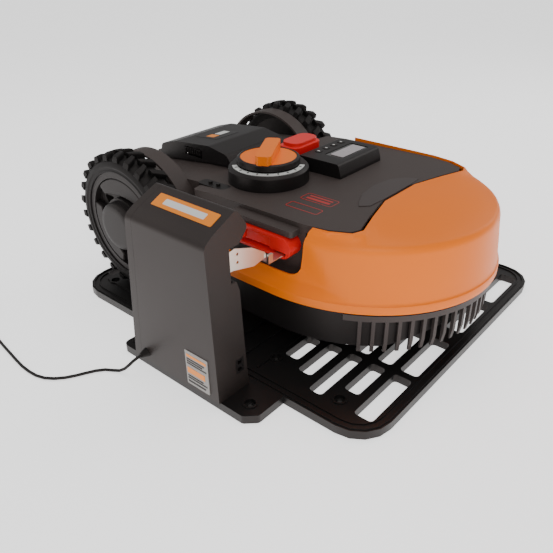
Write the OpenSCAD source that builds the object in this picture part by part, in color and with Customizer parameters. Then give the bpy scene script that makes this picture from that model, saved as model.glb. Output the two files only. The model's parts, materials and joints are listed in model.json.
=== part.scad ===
// Robotic lawn mower standing on its charging station.
// Millimetres. +X is the mower's forward direction, +Y its left side, +Z up.
// The origin lies on the underside of the dock plate, under the drive wheel axle, on the centre plane.

/* [Dock] */
// Front edge of the dock plate, ahead of the wheel axle
plate_front = 557; // [540:1:580]
// Half of the dock plate's width
plate_half_w = 286; // [270:1:300]
// Thickness of the dock plate over its ribs
plate_t = 16; // [14:1:20]
// Radius of the ground screw holes
screw_r = 4.5; // [3:0.5:6]
// Half distance between the left and right ground screws
screw_half_y = 240; // [230:1:245]
// X of the front row of ground screws
screw_front_x = 477; // [475:1:479]
// X of the rear row of ground screws
screw_rear_x = -47; // [-55:1:-40]

/* [Wheels] */
// Drive wheel radius over the lugs
wheel_r = 127.5; // [125:0.5:128]
// Inner face of the drive wheels, from the centre plane
wheel_in_y = 188; // [187:1:190]
// Outer face of the drive wheels, from the centre plane
wheel_out_y = 237; // [230:1:237]
// Lugs around each row of a tyre
lug_count = 26; // [20:1:30]

/* [Body] */
// Height of the top deck above the ground
deck_top = 232; // [230:1:234]
// Lower edge of the floating shell
shell_bottom = 122; // [120:1:126]
// Wall thickness of the large mouldings
wall = 3; // [2.5:0.5:3.5]

/* [Cutting] */
// X of the cutting and height knob axis
cut_x = 204; // [200:1:208]
// Y of the cutting and height knob axis
cut_y = -76; // [-78:1:-74]
// Radius of the blade disc
disc_r = 72; // [68:1:74]
// Distance of each blade pivot from the disc axis
pivot_r = 62; // [58:1:63]
// Height of the blades above the underside of the dock at the middle setting
blade_z = 50; // [48:1:52]

/* [Cord] */
// Cord diameter
cord_d = 5; // [4.5:0.5:5.5]
// Mean diameter of the coil's turns
coil_mid_d = 58; // [56:1:60]

/* [Hidden] */
$fn = 48;
eps = 0.5;
run_gap = 0.05;              // radial clearance of a running fit

plate_rear = -97;
plate_corner_r = 55;
field_z = plate_t - 2;       // top of the plate between its ribs
seam_y = -3;
pad_edge_y = -354;
axle_z = plate_t + 0.3 + wheel_r;
axle_r = 6;
bar_y = [-140, -127];        // the cross bar between the two rows of slots

tower_front = 353;
tower_wall = 3;
tongue_x = 342;              // pivot pin of the sprung contact

deck_half_rear = 153;
wall_y = 150;                // inner face of the deck's rear side walls
fender_r = 118;
fender_out_y = 183;
shell_cx = 330;              // centre of the ellipse that rounds the mower's front
connector_z = 199.5;
connector_r = 16.5;

spindle_r = 9;
rod_r = 4;
rod_off = 48;
motor_r = 24;
well_r = 104;
well_top = 86;
caster_x = 420;
caster_trail = 18;
caster_r = 38;
caster_well_r = 64;
caster_well_top = 104;
caster_z = plate_t + 0.3 + caster_r;
hinge_x = -88;
hinge_z = 214;
latch_x = 18;

// ---------- helpers ----------
function unit(v) = v / norm(v);
function fillet(a, b, c, r, n) = let(u = unit(a - b), w = unit(c - b), half = acos(u * w) / 2,
    centre = b + unit(u + w) * (r / sin(half)), p0 = b + u * (r / tan(half)), p1 = b + w * (r / tan(half)),
    a0 = atan2(p0.y - centre.y, p0.x - centre.x), a1 = atan2(p1.y - centre.y, p1.x - centre.x),
    sweep = (a1 - a0 + 900) % 360 - 180)
    [for (i = [0:n]) centre + r * [cos(a0 + sweep * i / n), sin(a0 + sweep * i / n)]];
// A closed outline whose corner i is rounded with radius rr[i]
function rounded(p, rr, n = 4) = let(m = len(p)) [for (i = [0:m - 1])
    each (rr[i] == 0 ? [p[i]] : fillet(p[(i + m - 1) % m], p[i], p[(i + 1) % m], rr[i], n))];
function same(r, m) = [for (i = [1:m]) r];
function box_pts(x0, x1, y0, y1) = [[x0, y0], [x1, y0], [x1, y1], [x0, y1]];
function flip_y(p) = [for (v = p) [v.x, -v.y]];
function arc(cx, cy, a, b, a0, a1, n) = [for (i = [0:n]) let(t = a0 + (a1 - a0) * i / n)
    [cx + a * cos(t), cy + b * sin(t)]];

module rbox2(x0, x1, y0, y1, r) { polygon(rounded(box_pts(x0, x1, y0, y1), same(r, 4))); }
module rbox(x0, x1, y0, y1, z0, z1, r) {
    translate([0, 0, z0]) linear_extrude(z1 - z0) rbox2(x0, x1, y0, y1, r);
}
module block(x0, x1, y0, y1, z0, z1) { translate([x0, y0, z0]) cube([x1 - x0, y1 - y0, z1 - z0]); }
module rod_z(x, y, z0, z1, r) { translate([x, y, z0]) cylinder(r = r, h = z1 - z0); }
// Cylinder along Y between y0 and y1
module rod_y(x, z, y0, y1, r) { translate([x, y0, z]) rotate([-90, 0, 0]) cylinder(r = r, h = y1 - y0); }
// Extrudes an XZ outline along Y between y0 and y1
module along_y(y0, y1) { translate([0, y1, 0]) rotate([90, 0, 0]) linear_extrude(y1 - y0) children(); }
// Extrudes a YZ outline along X between x0 and x1
module along_x(x0, x1) { translate([x0, 0, 0]) rotate([90, 0, 90]) linear_extrude(x1 - x0) children(); }
module both_sides() { children(); mirror([0, 1, 0]) children(); }

// ---------- dock plate ----------
// Slots of the near half: [x0, x1, y0, y1]
slots = [[348, 374, -208, -146], [388, 413, -225, bar_y[0]], [428, 451, -250, bar_y[0]],
    [467, 492, -216, bar_y[0]], [507, 537, -250, bar_y[0]],
    for (c = [[348, 374], [388, 413], [428, 451], [467, 492], [507, 537]]) [c[0], c[1], bar_y[1], -20]];

module plate_outline(inset) {
    rbox2(plate_rear + inset, plate_front - inset, -plate_half_w + inset, plate_half_w - inset,
        plate_corner_r - inset);
}
module near_slots(grow = 0) {
    for (s = slots) rbox2(s[0] - grow, s[1] + grow, s[2] - grow, s[3] + grow, 6 + grow);
    rbox2(-84, -66, -232, -190, 5);
}
module side_region(near) {
    if (near) translate([-200, -400]) square([900, 400 + seam_y]);
    else translate([-200, seam_y]) square([900, 400 - seam_y]);
}
module plate_slots() { near_slots(); mirror([0, 1]) near_slots(); }
module base_half(near) {
    s = near ? -1 : 1;
    difference() {
        union() {
            linear_extrude(field_z) difference() {
                intersection() { plate_outline(0); side_region(near); }
                plate_slots();
            }
            // rib round the border, ribs round the grid and the raised wheel pad
            translate([0, 0, field_z - eps]) linear_extrude(plate_t - field_z + eps) {
                intersection() {
                    side_region(near);
                    difference() { plate_outline(3); plate_outline(6); }
                }
                intersection() {
                    side_region(near);
                    difference() { plate_outline(13); plate_outline(15); near_slots(); mirror([0, 1]) near_slots(); }
                }
                for (x = [337, 300, 262]) translate([x, s < 0 ? -262 : 30]) square([3, 232]);
            }
            rbox(-66, 66, s < 0 ? -248 : 180, s < 0 ? -180 : 248, field_z - eps, plate_t, 6);
            for (p = [[screw_front_x, screw_half_y], [screw_rear_x, screw_half_y], [345, 225]])
                rod_z(p.x, s * p.y, field_z - eps, plate_t, 11);
        }
        for (p = [[screw_front_x, screw_half_y], [screw_rear_x, screw_half_y], [345, 225]])
            translate([p.x, s * p.y, 0]) {
                translate([0, 0, -1]) cylinder(r = screw_r, h = plate_t + 2);
                translate([0, 0, plate_t - 5]) cylinder(r = 8, h = 10);
            }
    }
}
module base_near() { color("#1d1d1e") base_half(true); }
module base_far() { color("#1d1d1e") base_half(false); }

module tower_pad() {
    color("#1d1d1e") difference() {
        union() {
            linear_extrude(field_z) polygon(rounded([[115, -plate_half_w], [115, -302], [128, -315],
                [128, pad_edge_y], [394, pad_edge_y], [411, -338], [411, -plate_half_w]],
                [0, 4, 4, 10, 8, 8, 0]));
            rod_z(385, -328, field_z - eps, plate_t, 11);
            rod_z(140, -334, field_z - eps, plate_t, 9);
        }
        for (p = [[385, -328], [140, -334]]) translate([p.x, p.y, 0]) {
            translate([0, 0, -1]) cylinder(r = screw_r, h = plate_t + 2);
            translate([0, 0, plate_t - 5]) cylinder(r = p.x > 200 ? 8 : 6, h = 10);
        }
    }
}

// ---------- charging tower ----------
// YZ outline of the tower, starting low on its outer side
tower_pts = [[-357, field_z], [-360, 262], [-343, 273], [-301, 293], [-281, 263], [-308, 236],
    [-311, 201], [-303, 176], [-300, 93], [-296, field_z]];
tower_rr = [0, 14, 10, 6, 10, 12, 10, 8, 8, 0];
// XZ outline: the rear edge leans forward
tower_side = [[165, field_z], [tower_front, field_z], [349, 300], [198, 300], [187, 200]];

function inset_x(p, d) = [for (v = p) [v.x + (v.x > 300 ? -d : d), v.y]];

module tower_solid() {
    intersection() {
        along_x(150, 360) polygon(rounded(tower_pts, tower_rr));
        along_y(-400, -250) polygon(tower_side);
    }
}
module tower_cavity() {
    intersection() {
        along_x(140, 360) offset(delta = -tower_wall) polygon(rounded(tower_pts, tower_rr));
        along_y(-400, -250) polygon([[150, field_z - 1], [tower_front - tower_wall, field_z - 1],
            [349 - tower_wall, 300], [180, 300]]);
    }
}
// Lies behind the tower's joint line, which follows its leaning rear edge
module tower_rear_zone(d) {
    along_y(-400, -250) polygon([[100, 0], [165 + d, 0], [187 + d, 200], [198 + d, 310], [100, 310]]);
}
module tower_housing() {
    color("#2b2927") difference() {
        tower_solid();
        tower_cavity();
        tower_rear_zone(14);
        // window for the contact arm, cord outlet and terminal socket seat
        block(338, 352, -318, -290, 192, 244);
        translate([196, -350, 30]) rotate([90, 0, 0]) cylinder(r = 5, h = 20);
        block(tower_front - 6, tower_front + 2, -320, -304, 44, 68);
    }
}
module tower_back_cover() {
    color("#232120") difference() {
        intersection() { tower_solid(); tower_rear_zone(13.8); }
        intersection() { tower_cavity(); along_y(-400, -250)
            polygon([[169, field_z - 1], [191, 200], [201, 300], [260, 300], [260, field_z - 1]]); }
    }
}
module terminal_socket() {
    color("#151515") difference() {
        block(tower_front - 10, tower_front - 0.6, -319.7, -304.3, 44.3, 67.7);
        for (z = [50, 62]) block(tower_front - 7, tower_front + 1, -316, -308, z - 3, z + 3);
    }
}
module charge_board() {
    color("#1f5a36") {
        block(215, 322, -344, -342.4, 40, 165);
        block(230, 262, -342.5, -322, 60, 92);
        block(276, 300, -342.5, -328, 100, 140);
        rod_y(240, 130, -342.5, -326, 7);
        for (z = [52, 153]) rod_y(218, z, -354.1, -343.9, 3);
    }
}
module cable_grommet() {
    color("#151515") {
        translate([196, -350, 30]) rotate([90, 0, 0]) cylinder(r = 4.9, h = 9);
        translate([196, -357.5, 30]) rotate([90, 0, 0]) cylinder(r1 = 7.5, r2 = 4.2, h = 12.5);
    }
}
module contact_holder() {
    color("#1a1a1a") difference() {
        union() {
            // its front face lies against the inside of the leaning front wall
            along_y(-333, -318.5) polygon([[322, 186], [347.56, 186], [346.66, 250], [322, 250]]);
            block(336, 347.3, -333, -314.8, 190, 197);
            block(336, 346.7, -333, -314.8, 239, 246);
            rod_z(tongue_x, -322, 180, 256, 3);
        }
        block(332, 350, -330, -300, 196.5, 239.5);
    }
    color("#1a1a1a") rod_z(tongue_x, -322, 196.4, 239.6, 2);
}
module contact_tongue() {
    // sprung blade on a vertical pin, with its tip bent toward the mower
    color("#c9c5bd") difference() {
        union() {
            along_x(344.4, 346) polygon([[-322, 235], [-305, 238], [-271, 226], [-247, 210], [-244, 206], [-245, 201],
                [-269, 197], [-309, 207], [-322, 207]]);
            rod_z(tongue_x, -322, 204, 234, 4);
        }
        rod_z(tongue_x, -322, 190, 250, 2 + run_gap);
        for (z = [216, 228]) translate([338, -300, z]) rotate([0, 90, 0]) cylinder(r = 2.2, h = 20);
    }
}

// ---------- cord ----------
cord_r = cord_d / 2;
cord_route = [[196, -369, 30], [195, -376, 29], [192, -382, 25], [187, -387, 18], [180, -391, 10],
    [171, -395, 4], [161, -400, cord_r], [150, -407, cord_r], [141, -418, cord_r], [134, -431, cord_r],
    [127, -445, cord_r], [119, -458, cord_r], [108, -470, cord_r], [95, -479, cord_r], [80, -484, cord_r],
    [62, -486, cord_r], [42, -486, cord_r], [20, -484, cord_r], [-5, -481, cord_r], [-32, -478, cord_r],
    [-60, -474, cord_r], [-88, -468, cord_r], [-113, -458, cord_r], [-134, -448, cord_r],
    [-152, -440, cord_r]];
coil_c = [-170, -475];
coil_in = coil_mid_d / 2 - 2 * cord_d;
coil_out = coil_mid_d / 2 + 2 * cord_d;
tail_route = [[-162, -513.5, 7.5], [-154, -514.5, 7.8], [-147, -515, 8.3], [-140, -515, 8.5]];

function ring(p, t, r, n) = let(side = unit(cross(t, [0, 0, 1])), up = cross(side, t))
    [for (k = [0:n - 1]) p + r * (cos(360 * k / n) * side + sin(360 * k / n) * up)];
function tangent(p, i) = unit(p[min(i + 1, len(p) - 1)] - p[max(i - 1, 0)]);
module tube(p, r, n = 8) {
    m = len(p);
    polyhedron(
        points = [for (i = [0:m - 1]) each ring(p[i], tangent(p, i), r, n)],
        faces = [[for (k = [0:n - 1]) n - 1 - k], [for (k = [0:n - 1]) (m - 1) * n + k],
            for (i = [0:m - 2]) for (k = [0:n - 1]) let(a = i * n + k, b = i * n + (k + 1) % n)
                each [[a, b, b + n], [a, b + n, a + n]]]);
}
module supply_cord() { color("#161616") tube(cord_route, cord_r); }
module cord_coil() {
    color("#161616") translate([coil_c.x, coil_c.y, 0]) rotate_extrude($fn = 64)
        polygon(rounded(box_pts(coil_in, coil_out, 0, 3 * cord_d), same(cord_r, 4), 2));
}
module cord_plug() {
    color("#101010") {
        tube(tail_route, cord_r);
        translate([-143, -515, 8.5]) rotate([0, 90, 0]) {
            cylinder(r1 = 4, r2 = 6.5, h = 16);
            translate([0, 0, 15]) cylinder(r = 8.5, h = 22);
            translate([0, 0, 36]) cylinder(r = 6, h = 9);
        }
    }
}

// ---------- mower chassis ----------
// Plan outline of the lower body, drawn inward by d
function body_outline(d, tail = -95) = let(a = 222 - d, b = 205 - d) concat(
    arc(shell_cx, 0, a, b, -90, 90, 40),
    [[140 + d, b], [140 + d, wall_y - d - 0.5], [tail + d, wall_y - d - 0.5],
     [tail + d, -(wall_y - d - 0.5)], [140 + d, -(wall_y - d - 0.5)], [140 + d, -b]]);

module chassis_skin(d) {
    // the lower edge is drawn in under the front
    intersection() {
        translate([0, 0, 58]) linear_extrude(60) polygon(body_outline(d));
        along_y(-300, 300) polygon([[-200, 50], [470 - d, 50], [600 - d, 110], [600, 130], [-200, 130]]);
    }
}
module chassis() {
    color("#1b1b1c") difference() {
        union() {
            difference() {
                chassis_skin(0);
                translate([0, 0, 58 + wall]) linear_extrude(80) polygon(body_outline(16));
            }
            rod_z(cut_x, cut_y, 58, well_top + wall, well_r + wall);
            rod_z(caster_x, 0, 58, caster_well_top + wall, caster_well_r + wall);
            rod_z(caster_x, 0, caster_well_top, 116, 16);
            for (s = [-1, 1]) rod_z(cut_x + s * rod_off, cut_y, well_top, 98, 8);
            // supports for the gearboxes
            for (s = [-1, 1]) block(-30, 30, s * 128 - 12, s * 128 + 12, 60, 112);
            // battery tray
            block(-70, 56, -66, 66, 134, 137);
            for (x = [-62, 44]) for (s = [-1, 1]) block(x - 4, x + 4, s * 56 - 4, s * 56 + 4, 60, 135);
        }
        rod_z(cut_x, cut_y, 50, well_top, well_r);
        rod_z(cut_x, cut_y, 50, 130, motor_r + 6);
        rod_z(caster_x, 0, 50, caster_well_top, caster_well_r);
        rod_z(caster_x, 0, 90, 120, 8 + run_gap);
        for (s = [-1, 1]) rod_z(cut_x + s * rod_off, cut_y, well_top + 2, 110, rod_r);
        // seats of the gearboxes in the thick side walls
        for (s = [-1, 1]) block(-34.3, 34.3, s * 126 - 20.4, s * 126 + 20.4, 112, 125);
    }
}
module front_grille() {
    fins = 23;
    color("#161617") {
        translate([0, 0, 108]) linear_extrude(10) polygon(concat(arc(shell_cx, 0, 236, 214, -62, 62, 31),
            arc(shell_cx, 0, 222.4, 205.4, 62, -62, 31)));
        for (i = [0:fins - 1]) let(t = -55 + 110 * i / (fins - 1))
            translate([shell_cx + 222 * cos(t), 206 * sin(t), 0])
                rotate([0, 0, atan2(sin(t) / 206, cos(t) / 222)])
                along_y(-2.8, 2.8) polygon([[2, 112], [8, 112], [8, 70], [4.5, 52], [2, 52]]);
    }
}

// ---------- top deck ----------
deck_half = [[-95, 0], [-95, 128], [-70, deck_half_rear], [128, deck_half_rear], [134, 183], [364, 184],
    [403, 177], [430, 164], [436, 149], [421, 103], [404, 39], [404, 0]];
deck_half_r = [0, 10, 10, 0, 6, 20, 20, 8, 8, 20, 12, 0];
module deck_plan_half() { polygon(rounded(deck_half, deck_half_r)); }
module deck_plan() { deck_plan_half(); mirror([0, 1]) deck_plan_half(); }
// Side outline of the deck: it falls toward the rear
module deck_profile(d) {
    along_y(-250, 250) polygon(rounded([[-97, 100], [-97, 206 - d], [60, 224 - d], [180, deck_top - d],
        [480, deck_top - d + 3], [480, 100]], [0, 12, 60, 60, 0, 0]));
}
module fender() {
    rotate([0, 0, 0]) difference() {
        rod_y(0, axle_z, deck_half_rear - 2, fender_out_y, fender_r);
        rod_y(0, axle_z, deck_half_rear - 3, fender_out_y + 1, fender_r - 4);
        block(-200, 200, 100, 250, 0, axle_z - 20);
        block(112, 200, 100, 250, 0, 300);
    }
}
module top_deck() {
    color("#3f3c3a") difference() {
        union() {
            intersection() {
                deck_profile(0);
                union() {
                    difference() {
                        translate([0, 0, 100]) linear_extrude(150) deck_plan();
                        // open underneath
                        intersection() {
                            deck_profile(4);
                            translate([0, 0, 90]) linear_extrude(170) polygon(box_pts(-92, 600, -wall_y, wall_y));
                        }
                        block(137, 368, -177, 177, 90, 222);
                        block(368, 600, -300, 300, 90, 222);
                        block(-200, 600, -300, 300, 90, 118.2);
                    }
                }
            }
            both_sides() fender();
            // roof over the charging recess
            rbox(236, 358, -204, -175, 217, 226, 5);
            // hinge ears of the battery cover
            for (s = [-1, 1]) along_y(s * 65 - 4, s * 65 + 4)
                polygon([[-94.5, 198], [-76, 200], [-79, 212], [-84, 220], [-92, 220], [-94.5, 214]]);
            // collar round the stop button
            rbox(154.5, 206.5, -6, 78, 230, 241, 17);
        }
        // battery opening, spindle hole, stop button hole and shaft holes
        rbox(-72, 104, -68, 68, 190, 260, 10);
        rod_z(cut_x, cut_y, 200, 260, 14);
        rod_z(cut_x, cut_y, 229.5, 260, 67.7);
        rbox(162, 199, 5, 67, 200, 260, 12);
        rbox(157, 204, -3.5, 75.5, 234, 260, 14.5);
        block(214, 296, 0, 106, 200, 260);
        block(207.6, 302.4, -8.2, 114.4, 230, 260);
        rbox(119.7, 182.3, -162.3, -139.7, 216, 260, 8.3);
        block(261, 301, -190, -170, 189, 207);
        rod_y(0, axle_z, -200, 200, 12);
        block(hinge_x - 8, hinge_x + 8.5, -60.5, 60.5, 192, 260);
        rod_y(hinge_x, hinge_z, -80, 80, 3);
    }
}
module charging_connector() {
    color("#a51b22") difference() {
        union() {
            along_y(-210, -184) union() {
                translate([344, connector_z]) circle(r = connector_r);
                translate([262, connector_z - connector_r]) square([82, 2 * connector_r]);
            }
            block(262, 300, -184.5, -172, 190, 206);
        }
        // recess in the outer face and the contact groove
        block(270, 322, -212, -206, 190, 210);
        block(250, 352, -213, -198, 188, 193);
    }
}
module connector_contact() {
    color("#d0cdc6") {
        block(318, 350, -200.5, -198, 188.4, 192.6);
        block(334, 350, -242.5, -199, 190.2, 191.8);
        block(346.2, 350, -243.4, -234, 190.2, 204);
    }
}
module battery_pack() {
    color("#2a2a2c") rbox(-64, 50, -60, 60, 137, 202, 8);
    color("#c8651b") rbox(-50, 36, -46, 46, 201.5, 203, 6);
}
module control_housing() {
    color("#2c2a29") difference() {
        along_y(-8, 114) polygon(rounded([[208, 230], [302, 230], [302, 238], [296, 257], [214, 257], [208, 250]],
            [0, 0, 4, 6, 6, 4]));
        block(213, 297, -3, 109, 228, 252);
        rbox(246, 284, 22, 102, 250, 260, 3);
        for (k = [0:3]) rod_z(229, 28 + 22 * k, 240, 262, 7);
    }
}
module display_lens() { color("#1c211f") rbox(246.3, 283.7, 22.3, 101.7, 251, 256, 2.7); }
module control_board() {
    color("#1f5a36") block(215, 295, 0, 106, 240, 241.6);
    color("#303030") for (k = [0:3]) rod_z(229, 28 + 22 * k, 241.5, 245.4, 2.5);
    color("#20262a") block(250, 280, 26, 98, 241.5, 251);
}
module knob_bezel() {
    color("#1e1c1b") translate([cut_x, cut_y, 0]) rotate_extrude($fn = 96)
        polygon([[spindle_r + run_gap, 222], [13.5, 222], [13.5, 229.6], [67.5, 229.6], [67.5, 240], [67, 254],
            [62, 258], [50, 258.5], [50, 246], [20, 243], [spindle_r + run_gap, 243]]);
}
module scale_ring() {
    color("#d8d8d4") translate([cut_x, cut_y, 0]) rotate_extrude($fn = 96)
        polygon([[52.5, 258.4], [60.5, 258.1], [60.5, 259.4], [52.5, 259.6]]);
}
module rain_sensor() {
    color("#1d1b1a") rbox(120, 182, -162, -140, 218, 231, 8);
    color("#c9c5bd") for (x = [142, 160]) rod_z(x, -151, 230, 235, 3.5);
}

// ---------- drive ----------
module gearbox(s) {
    color("#2d2d2f") mirror([0, s < 0 ? 1 : 0, 0]) difference() {
        union() {
            rbox(-34, 34, 106, 146, 112, 178, 8);
            rod_y(0, axle_z, 140, 149, 16);
        }
        rod_y(0, axle_z, 100, 152, axle_r + run_gap);
    }
}
module gearbox_left() { gearbox(1); }
module gearbox_right() { gearbox(-1); }
module drive_motors() {
    color("#8b8d90") for (s = [-1, 1]) {
        rod_y(18, 122.5, min(s * 70, s * 106), max(s * 70, s * 106), 9.5);
        rod_y(18, 122.5, min(s * 62, s * 71), max(s * 62, s * 71), 4);
    }
}
module lug_row(y0, y1, phase) {
    along_y(y0, y1) translate([0, axle_z]) rotate(phase) polygon([for (i = [0:lug_count - 1])
        for (q = [[-0.5, 116.5], [-0.26, 116.5], [-0.2, wheel_r], [0.2, wheel_r], [0.26, 116.5]])
            let(t = 360 * (i + q[0]) / lug_count) q[1] * [cos(t), sin(t)]]);
}
module tyre() {
    mid = (wheel_in_y + wheel_out_y) / 2;
    difference() {
        union() {
            rod_y(0, axle_z, wheel_in_y, wheel_out_y, 116.6);
            lug_row(wheel_in_y, mid - 1, 0);
            lug_row(mid + 1, wheel_out_y, 180 / lug_count);
        }
        rod_y(0, axle_z, wheel_in_y - 1, wheel_out_y + 1, 95);
    }
}
module rim() {
    difference() {
        union() {
            rod_y(0, axle_z, wheel_in_y + 2, wheel_out_y - 3, 95);
            rod_y(0, axle_z, wheel_out_y - 4, wheel_out_y + 4, 44);
        }
        rod_y(0, axle_z, wheel_in_y + 10, wheel_out_y - 3.5, 0.01 + axle_r);
        rod_y(0, axle_z, wheel_in_y - 1, wheel_out_y + 8, axle_r);
        // shallow dish between the hub and the rim's edge
        difference() {
            rod_y(0, axle_z, wheel_out_y - 16, wheel_out_y + 1, 84);
            rod_y(0, axle_z, wheel_out_y - 20, wheel_out_y + 5, 48);
        }
        for (t = [90, 210, 330]) translate([0, 0, axle_z]) rotate([0, t, 0])
            along_y(wheel_in_y - 1, wheel_out_y + 1)
            polygon(rounded([[50, -16], [76, 0], [50, 16]], same(4, 3)));
    }
}
module hub_cap() {
    translate([0, wheel_out_y + 4, axle_z]) rotate([-90, 0, 0]) rotate_extrude($fn = 72)
        polygon([[0, 0], [44, 0], [43, 7], [38, 11], [30, 12], [0, 12]]);
}
module shaft() { rod_y(0, axle_z, 110, wheel_out_y + 2, axle_r); }
module tyre_left() { color("#161617") tyre(); }
module rim_left() { color("#2a2928") rim(); }
module hub_cap_left() { color("#2e2c2b") hub_cap(); }
module shaft_left() { color("#9a9c9f") shaft(); }
module tyre_right() { color("#161617") mirror([0, 1, 0]) tyre(); }
module rim_right() { color("#2a2928") mirror([0, 1, 0]) rim(); }
module hub_cap_right() { color("#2e2c2b") mirror([0, 1, 0]) hub_cap(); }
module shaft_right() { color("#9a9c9f") mirror([0, 1, 0]) shaft(); }

// ---------- front caster ----------
caster_ax = caster_x - caster_trail;
module caster_fork() {
    color("#202022") difference() {
        union() {
            rod_z(caster_x, 0, 100, 122, 8);
            rod_z(caster_x, 0, 95, 102, 20);
            for (s = [-1, 1]) hull() {
                rod_y(caster_ax, caster_z, s * 20 - 2.5, s * 20 + 2.5, 8);
                translate([caster_x - 8, s * 20 - 2.5, 96]) cube([18, 5, 5]);
            }
            block(caster_x - 14, caster_x + 12, -22.5, 22.5, 96, 101);
        }
        rod_y(caster_ax, caster_z, -30, 30, 3);
    }
}
module caster_axle() { color("#9a9c9f") rod_y(caster_ax, caster_z, -24, 24, 3); }
module caster_wheel() {
    color("#232325") translate([caster_ax, 0, caster_z]) rotate([90, 0, 0]) rotate_extrude($fn = 72)
        polygon([[3 + run_gap, -16], [10, -16], [12, -11], [30, -11], [33, -15], [37, -11], [caster_r, -5],
            [caster_r, 5], [37, 11], [33, 15], [30, 11], [12, 11], [10, 16], [3 + run_gap, 16]]);
}

// ---------- cutting head ----------
module guide_rods() {
    color("#b5b7ba") for (s = [-1, 1]) rod_z(cut_x + s * rod_off, cut_y, well_top + 2, 176, rod_r);
}
module head_carrier() {
    color("#3a3a3c") difference() {
        union() {
            rod_z(cut_x, cut_y, 118, 126, motor_r + 5);
            rbox(cut_x - 60, cut_x + 60, cut_y - 14, cut_y + 14, 118, 126, 6);
            for (s = [-1, 1]) rod_z(cut_x + s * rod_off, cut_y, 114, 146, 9);
            for (s = [-1, 1]) block(cut_x + s * 32 - 3, cut_x + s * 32 + 3, cut_y - 10, cut_y + 10, 120, 164);
            rbox(cut_x - 35, cut_x + 35, cut_y - 14, cut_y + 14, 160, 168, 4);
        }
        rod_z(cut_x, cut_y, 110, 128, motor_r + 0.05);
        rod_z(cut_x, cut_y, 140, 175, spindle_r + 0.4);
        for (s = [-1, 1]) rod_z(cut_x + s * rod_off, cut_y, 105, 150, rod_r + run_gap);
    }
}
module cutting_motor() {
    color("#77797c") difference() {
        union() {
            rod_z(cut_x, cut_y, blade_z + 18, 134, motor_r);
            rod_z(cut_x, cut_y, blade_z + 13, blade_z + 19, 15);
        }
        rod_z(cut_x, cut_y, blade_z + 10, 110, 4 + run_gap);
    }
}
module blade_disc() {
    color("#c2501c") difference() {
        union() {
            translate([cut_x, cut_y, 0]) rotate_extrude($fn = 96) polygon([[0, blade_z + 1.5], [disc_r, blade_z + 1.5],
                [disc_r, blade_z + 4.5], [40, blade_z + 6], [12, blade_z + 7], [12, blade_z + 11.5], [4, blade_z + 11.5],
                [4, 105], [0, 105]]);
        }
        for (k = [0:2]) rotate_about_cut(120 * k) rod_z(cut_x + pivot_r, cut_y, blade_z, blade_z + 10, 2);
    }
}
module rotate_about_cut(t) {
    translate([cut_x, cut_y, 0]) rotate([0, 0, t]) translate([-cut_x, -cut_y, 0]) children();
}
module blade_screws() {
    color("#b9bbbe") for (k = [0:2]) rotate_about_cut(120 * k) {
        rod_z(cut_x + pivot_r, cut_y, blade_z - 2.2, blade_z - 0.2, 5.5);
        rod_z(cut_x + pivot_r, cut_y, blade_z - 0.3, blade_z + 1.5, 3);
        rod_z(cut_x + pivot_r, cut_y, blade_z + 1.4, blade_z + 5, 2);
    }
}
module blade(k) {
    color("#cfd1d3") rotate_about_cut(120 * k) translate([cut_x + pivot_r, cut_y, blade_z + 0.2]) difference() {
        linear_extrude(0.9) polygon(rounded([[-7, -9], [26, -9], [29, -6], [29, 6], [26, 9], [-7, 9]], [4, 0, 0, 0, 0, 4]));
        translate([0, 0, -1]) cylinder(r = 3 + run_gap, h = 3);
    }
}
module blade_1() { blade(0); }
module blade_2() { blade(1); }
module blade_3() { blade(2); }

// ---------- height knob ----------
module height_knob() {
    color("#f07b16") {
        translate([cut_x, cut_y, 0]) rotate_extrude($fn = 96)
            polygon([[0, 246], [12, 246], [47, 248], [49, 249], [49, 262], [51.5, 263], [51.5, 268], [48, 271], [0, 271]]);
        translate([cut_x, cut_y, 0]) rotate([0, 0, -59]) rbox(-50, 50, -13, 13, 270, 286, 7);
    }
}
module lift_screw() {
    color("#a8aaad") {
        rod_z(cut_x, cut_y, 150.5, 246, spindle_r);
        rod_z(cut_x, cut_y, 212, 216, 12.5);
    }
}
module stop_button() {
    color("#cf2a2c") {
        rbox(158.5, 202.5, -2, 74, 239.5, 262, 14);
        rbox(163, 198, 6, 66, 228, 240, 10);
        rbox(161.5, 199.5, 2, 70, 261.5, 269, 16);
    }
}
module key_shape(k) {
    color("#4a4745") {
        rod_z(229, 28 + 22 * k, 247, 257.8, 6.4);
        rod_z(229, 28 + 22 * k, 246.6, 249, 8.4);
    }
}
module key_1() { key_shape(0); }
module key_2() { key_shape(1); }
module key_3() { key_shape(2); }
module key_4() { key_shape(3); }

// ---------- battery cover ----------
module battery_cover() {
    color("#211f1e") difference() {
        union() {
            along_y(-75, 75) polygon(rounded([[-78, 210], [60, 226], [118, 230.6], [104, 250], [60, 258], [-30, 250],
                [-72, 238]], [0, 0, 3, 14, 30, 30, 10]));
            for (s = [-1, 1]) along_y(s * 49 - 9, s * 49 + 9)
                polygon([[-93, 210], [-86, 208.5], [-70, 214], [-66, 226], [-84, 222], [-92, 219]]);
        }
        along_y(-70, 70) polygon([[-73, 205], [60, 221], [106, 226], [96, 247], [58, 253], [-28, 246], [-67, 234]]);
        rod_y(hinge_x, hinge_z, -80, 80, 3 + run_gap);
        for (s = [-1, 1]) block(latch_x - 22.5, latch_x + 22.5, s * 73 - 7, s * 73 + 7, 230, 246.5);
    }
}
module latch(s) {
    color("#191817") {
        block(latch_x - 21, latch_x + 21, min(s * 68, s * 75.5), max(s * 68, s * 75.5), 234.5, 245);
        for (k = [-3:3]) block(latch_x + 6 * k - 1.2, latch_x + 6 * k + 1.2, min(s * 75, s * 77),
            max(s * 75, s * 77), 235.5, 244);
    }
}
module latch_left() { latch(1); }
module latch_right() { latch(-1); }
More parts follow.
